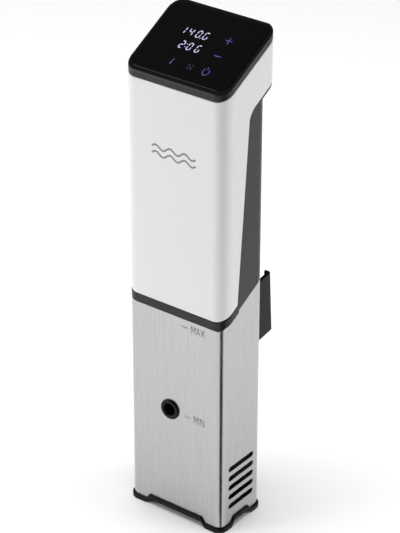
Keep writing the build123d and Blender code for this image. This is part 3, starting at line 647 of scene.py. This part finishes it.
# the upper row's decimal point and the lower row's colon
dots = [[(-3.7, 8.95), (-3.2, 8.95)], [(-9.25, 1.0), (-8.8, 1.0)], [(-8.9, 3.1), (-8.45, 3.1)]]
strokeWidth = {"digit": 0.56, "key": 0.62, "timer": 0.42}
digitShape = {"lean": 0.16, "gap": 0.36}


def digitLines(code, left, foot, height, width):
    # a stroke between two corners of a leaning cell, shortened at both ends by the gap
    cell = {"tl": (0, 1), "tr": (1, 1), "ml": (0, 0.5), "mr": (1, 0.5), "bl": (0, 0), "br": (1, 0)}
    ends = [("tl", "tr"), ("ml", "tl"), ("mr", "tr"), ("ml", "mr"), ("bl", "ml"), ("br", "mr"), ("bl", "br")]
    lines = []
    for lit, pair in zip(code, ends):
        if lit == "1":
            p, q = [np.array([left + cell[k][0] * width + cell[k][1] * height * digitShape["lean"],
                              foot + cell[k][1] * height]) for k in pair]
            step = (q - p) / np.linalg.norm(q - p) * digitShape["gap"]
            lines.append([p + step, q - step])
    return lines


def makeDisplay():
    lines = []
    for row, foot, height, width in rowsOfDigits:
        for character, left in row.items():
            lines += digitLines(digits[character], left, foot, height, width)
    strokes("litDisplay", lines + dots, strokeWidth["digit"], onGlass, "head", "panel_glass", litDigits)
    power = [arcLine(16.1, -10.6, 2.3, 125, 415), [(16.1, -8.9), (16.1, -7.2)]]
    bulb = [arcLine(-10.5, -11.6, 0.45, 0, 360), [(-10.4, -10.9), (-9.9, -8.2)]]
    timer = [arcLine(3.9, -10.5, 1.9, start, start + 50, 6) for start in (20, 110, 200, 290)]
    timer += [[(3.2, -9.8), (4.8, -11.4)]]
    plusMinus = [[(13.8, 12.85), (18.7, 12.85)], [(16.25, 10.6), (16.25, 15.1)], [(13.5, 1.2), (18.8, 1.2)]]
    strokes("litKeys", power + bulb + plusMinus, strokeWidth["key"], onGlass, "head", "panel_glass", litIcons)
    strokes("litTimerKey", timer, strokeWidth["timer"], onGlass, "head", "panel_glass", litFaint)


# Steel sleeve and its trim
sleeve = {
    "radius": 5.5, "sheet": 0.8, "edgeRound": 0.12, "foot": 1.6, "topGap": 0.35,
    "archRise": 4.0, "frontArch": (21.6, 26.0), "sideArch": (7.2, 11.8),  # where a raised foot line ends and starts
    "trimHeight": 3.7, "trimProud": 1.3, "trimInner": 2.4, "trimLowRound": 0.5, "trimHighRound": 0.8,
    "slots": 5, "slotLow": 17.4, "slotPitch": 7.37, "slotLength": 27.4, "slotHeight": 4.0,
    "outletRadius": 6.0, "cutNear": 8.0, "cutReach": 60.0, "sharp": 30,
}


def archLift(lift):
    # height of the foot line: zero at the corners, raised between them; a ramp is t squared times (3 - 2t)
    def edge(x, y, nx, ny):
        def ramp(along, top, foot):
            t = np.clip((foot - np.abs(along)) / (foot - top), 0, 1)
            return t * t * (3 - 2 * t), 6 * t * (1 - t) / (foot - top)
        front, frontSlope = ramp(x, *sleeve["frontArch"])
        side, sideSlope = ramp(y, *sleeve["sideArch"])
        onFront, onSide = np.abs(ny) > 0.99, np.abs(nx) > 0.99
        share = np.where(onFront, front, np.where(onSide, side, 0))
        steep = np.where(onFront, frontSlope, np.where(onSide, sideSlope, 0)) * sleeve["archRise"]
        return lift + sleeve["archRise"] * share, np.sqrt(1 + steep ** 2)
    return edge


def sleeveOutline():
    # the sleeve's rounded rectangle, with extra columns across each ramp of the foot line
    ramps = np.linspace(-0.5, 1.5, 17)
    stops = [[foot + (top - foot) * r for r in ramps] for top, foot in (sleeve["sideArch"], sleeve["frontArch"])]
    stops = [np.concatenate([s, np.negative(s)]) for s in stops]
    return outline(sleeveHalf, sleeveFront, sleeveRear, sleeve["radius"], *stops)


def cutterPrism(profile, axis, ends):
    # prism of a flat profile, from the first to the second place along the axis
    count = len(profile)
    along = [np.full(count, end) for end in ends]
    first, second = profile[:, 0], profile[:, 1]
    rings = [np.stack([a, first, second] if axis == "x" else [first, a, second], 1) for a in along]
    i = np.arange(count)
    j = (i + 1) % count
    faces = np.stack([i, j, j + count, i + count], 1).tolist() + [list(i[::-1]), list(i + count)]
    return np.concatenate(rings), faces


def makeCutter():
    # the five side slots right through both sides, and the outlet through the front
    reach, half = sleeve["cutReach"], sleeve["slotHeight"] / 2
    end = (sleeve["slotLength"] - sleeve["slotHeight"]) / 2
    slot = np.concatenate([arcLine(end, 0, half, -90, 90, 12), arcLine(-end, 0, half, 90, 270, 12)])
    shapes = [cutterPrism(slot + [0, sleeve["slotLow"] + k * sleeve["slotPitch"]], "x", (-reach, reach))
              for k in range(sleeve["slots"])]
    middle = sum(boxMm("outlet_grommet")) / 2
    outlet = arcLine(middle[0], middle[2], sleeve["outletRadius"], 0, 352.5, 48)
    shapes.append(cutterPrism(outlet, "y", (-sleeve["cutNear"], -reach)))
    corners, faces, start = [], [], 0
    for more, sides in shapes:
        corners.append(more)
        faces += [[int(k) + start for k in side] for side in sides]
        start += len(more)
    mesh = bpy.data.meshes.new("sleeveCutter")
    mesh.from_pydata((np.concatenate(corners) * mm).tolist(), [], faces)
    cutter = bpy.data.objects.new("sleeveCutter", mesh)
    bpy.context.scene.collection.objects.link(cutter)
    return cutter


def makeSleeve():
    # a sheet wall from the arched foot line up to the slanted plane under the band, then punched
    rows = wallRows(sleeve["sheet"], sleeve["edgeRound"], sleeve["edgeRound"], 2)
    top = plane(levels["bandLow"] - sleeve["topGap"])
    piece = wallPiece("sleeveSheet", sleeveOutline(), rows, archLift(sleeve["foot"]), top, True, "sleeve",
                      "sleeve_steel", ["steel_sleeve"], sleeve["sharp"])
    cutter = makeCutter()
    cut = piece.modifiers.new("punched", "BOOLEAN")
    cut.operation, cut.object, cut.solver = "DIFFERENCE", cutter, "EXACT"
    piece.modifiers.move(1, 0)
    bpy.context.view_layer.update()
    punched = bpy.data.meshes.new_from_object(piece.evaluated_get(bpy.context.evaluated_depsgraph_get()))
    piece.modifiers.clear()
    piece.data = punched
    punched.set_sharp_from_angle(angle=radians(sleeve["sharp"]))
    keepEven(piece)
    bpy.data.objects.remove(cutter)


def makeTrim():
    # a wall that stands proud of the sleeve, between the arched foot line and the same line lifted
    proud = sleeve["trimProud"]
    rows = wallRows(sleeve["trimInner"] + proud, sleeve["trimLowRound"], sleeve["trimHighRound"], 5, -proud)
    wallPiece("baseTrimSurface", sleeveOutline(), rows, archLift(0.0), archLift(sleeve["trimHeight"]), True, "sleeve",
              "black_trim", ["base_trim"])


outlet = {
    "outer": 7.3, "inner": 4.3, "proud": 1.45, "outerRound": 0.9, "innerRound": 1.3, "steps": 7,
    "lip": 0.3, "sheetBack": -0.9, "back": -1.7, "neck": 5.9,
}


def makeOutletRing():
    # a section with a small outer and a larger inner quarter round, turned about the outlet's axis
    middle = sum(boxMm("outlet_grommet")) / 2
    outer, inner, proud = outlet["outer"], outlet["inner"], outlet["proud"]
    big, small = outlet["innerRound"], outlet["outerRound"]
    quarter = np.linspace(0, pi / 2, outlet["steps"])
    section = [(outer, 0.0), (outer, proud - small)]
    section += [(outer - small * (1 - cos(a)), proud - small * (1 - sin(a))) for a in quarter[1:]]
    section += [(inner + big * (1 - sin(a)), proud - big * (1 - cos(a))) for a in quarter]
    section += [(inner, outlet["back"]), (outer - outlet["lip"], outlet["back"]),
                (outer - outlet["lip"], outlet["sheetBack"]), (outlet["neck"], outlet["sheetBack"]),
                (outlet["neck"], 0.0)]
    turnedPiece("outletRing", (middle[0], sleeveFront, middle[2]), (0, -1, 0), section, "sleeve", "black_trim",
                ["outlet_grommet"])


letters = {
    # strokes of each level word's letters in a cell one unit wide and one high
    "M": [[(0, 0), (0, 1)], [(0, 1), (0.5, 0.35)], [(0.5, 0.35), (1, 1)], [(1, 1), (1, 0)]],
    "A": [[(0, 0), (0.5, 1)], [(0.5, 1), (1, 0)], [(0.2, 0.34), (0.8, 0.34)]],
    "X": [[(0, 0), (1, 1)], [(0, 1), (1, 0)]],
    "I": [[(0.5, 0), (0.5, 1)]],
    "N": [[(0, 0), (0, 1)], [(0, 1), (1, 0)], [(1, 0), (1, 1)]],
}
levelMarks = {
    # word: dash start and end, left edge and width of each letter, foot height, letter height
    "MAX": ((4.9, 10.1), ((13.8, 2.9), (17.5, 3.0), (21.3, 2.9)), 148.1, 5.4),
    "MIN": ((7.3, 12.1), ((15.8, 2.9), (19.5, 0.8), (21.3, 2.7)), 79.8, 5.5),
}
etchWidth = {"dash": 1.0, "word": 0.8}


def makeLevelMarks():
    for word, ((dashStart, dashEnd), cells, foot, height) in levelMarks.items():
        name = "level" + word.title()
        dash = [[(dashStart, foot + height / 2), (dashEnd, foot + height / 2)]]
        strokes(name + "Dash", dash, etchWidth["dash"], onSleeveFront, "sleeve", "sleeve_steel", etchGrey)
        lines = [[(start + x * width, foot + y * height) for x, y in stroke]
                 for letter, (start, width) in zip(word, cells) for stroke in letters[letter]]
        strokes(name + "Word", lines, etchWidth["word"], onSleeveFront, "sleeve", "sleeve_steel", etchGrey)


emblem = {
    "left": -17, "right": 17.5, "steps": 90, "height": 272, "apart": 2.3, "rise": 1.45, "waves": 3, "line": 1.35,
}


def makeEmblem():
    # two parallel ripples, a plain sign for water: the rise times the sine of x over three whole waves
    x = np.linspace(emblem["left"], emblem["right"], emblem["steps"])
    length = emblem["right"] - emblem["left"]
    wave = emblem["rise"] * np.sin((x - emblem["left"]) / length * 2 * emblem["waves"] * pi)
    lines = [np.stack([x, emblem["height"] + shift + wave], 1) for shift in (-emblem["apart"], emblem["apart"])]
    strokes("waterSign", lines, emblem["line"], onHeadFront, "head", "white_plastic", printGrey)


# Cord gland
gland = {
    "ribs": 4, "ribPitch": 1.05, "ribTaper": 0.28, "rib": 6.3, "valley": 5.8,
    "bore": 3.2, "inside": -6.5, "neck": 5.9,
}


def makeGland():
    # a flange, ribs that taper towards the end, and a bore, turned about the cord's axis
    low, high = boxMm("cord_gland")
    length, flange = high[1] - headRear, (high[2] - low[2]) / 2
    section = [(flange, 0), (flange, 1.4), (flange - 0.2, 1.8), (flange - 0.6, 2.0), (6.5, 2.0)]
    for k in range(gland["ribs"]):
        taper, along = k * gland["ribTaper"], k * gland["ribPitch"]
        section += [(gland["rib"] - taper, 2.5 + along), (gland["rib"] - taper, 3.0 + along),
                    (gland["valley"] - taper, 3.2 + along)]
    section += [(4.9, length - 0.4), (4.5, length), (3.7, length), (gland["bore"], length - 0.5),
                (gland["bore"], gland["inside"]), (gland["neck"], gland["inside"]), (gland["neck"], 0)]
    turnedPiece("glandSurface", (0, headRear, (low[2] + high[2]) / 2), (0, 1, 0), section, "head", "dark_plastic",
                ["cord_gland"])


# Edges of the clamp's own CAD pieces
softened = {"clamp_lever": 0.6, "clamp_bracket": 0.4, "jaw_pad": 0.3}
bevelSteps, bevelAngle = 3, 40


def softenEdges(node, width):
    thing = frame["nodes"][node]
    weld = thing.modifiers.new("joinSkin", "WELD")
    weld.merge_threshold = 1e-6
    bevel = thing.modifiers.new("edgeRound", "BEVEL")
    bevel.width, bevel.segments = width * mm, bevelSteps
    bevel.limit_method, bevel.angle_limit = "ANGLE", radians(bevelAngle)
    bevel.harden_normals = True


makeShell()
makeBand()
makeSpigot()
makeGrip()
makeOverhang()
makeEmblem()
print("stage: casing")
makeBezel()
makeGlass()
makeDisplay()
print("stage: touch panel")
makeSleeve()
makeTrim()
makeOutletRing()
makeLevelMarks()
print("stage: sleeve")
makeGland()
for node, width in softened.items():
    softenEdges(node, width)
print("stage: clamp")


# Floor and flag, in metres
floorHalf = 4.0
flagSetup = {"inset": 0.002, "height": 0.001, "azimuths": (34, 76), "reach": 1.2}


def makeSheet(name, corners, material):
    mesh = bpy.data.meshes.new(name)
    mesh.from_pydata(corners, [], [tuple(range(len(corners)))])
    sheet = bpy.data.objects.new(name, mesh)
    bpy.context.scene.collection.objects.link(sheet)
    mesh.materials.append(material)
    return sheet


def makeFloor(half):
    floor = makeSheet("floor", [(-half, -half, 0), (half, -half, 0), (half, half, 0), (-half, half, 0)], floorPaint)
    # the overhead box is for the floor alone, so the tilted glass stays dark under it
    lit = bpy.data.collections.new("litByFloorBox")
    lit.objects.link(floor)
    bpy.data.objects["floorBox"].light_linking.receiver_collection = lit


def makeFlag(setup):
    # black sheet on the floor, hidden from the camera and seen only in reflections: a painted reflection that draws
    # the dark line down the sleeve's near corner
    corner = (headHalf * mm - setup["inset"], headFront * mm + setup["inset"], setup["height"])
    ends = [orbit(azimuth, 0, setup["reach"], corner) for azimuth in setup["azimuths"]]
    flag = makeSheet("paintedReflectionSheet", [corner] + ends, paintedReflectionSheet)
    flag.visible_camera = flag.visible_shadow = flag.visible_diffuse = False


makeFloor(floorHalf)
makeFlag(flagSetup)
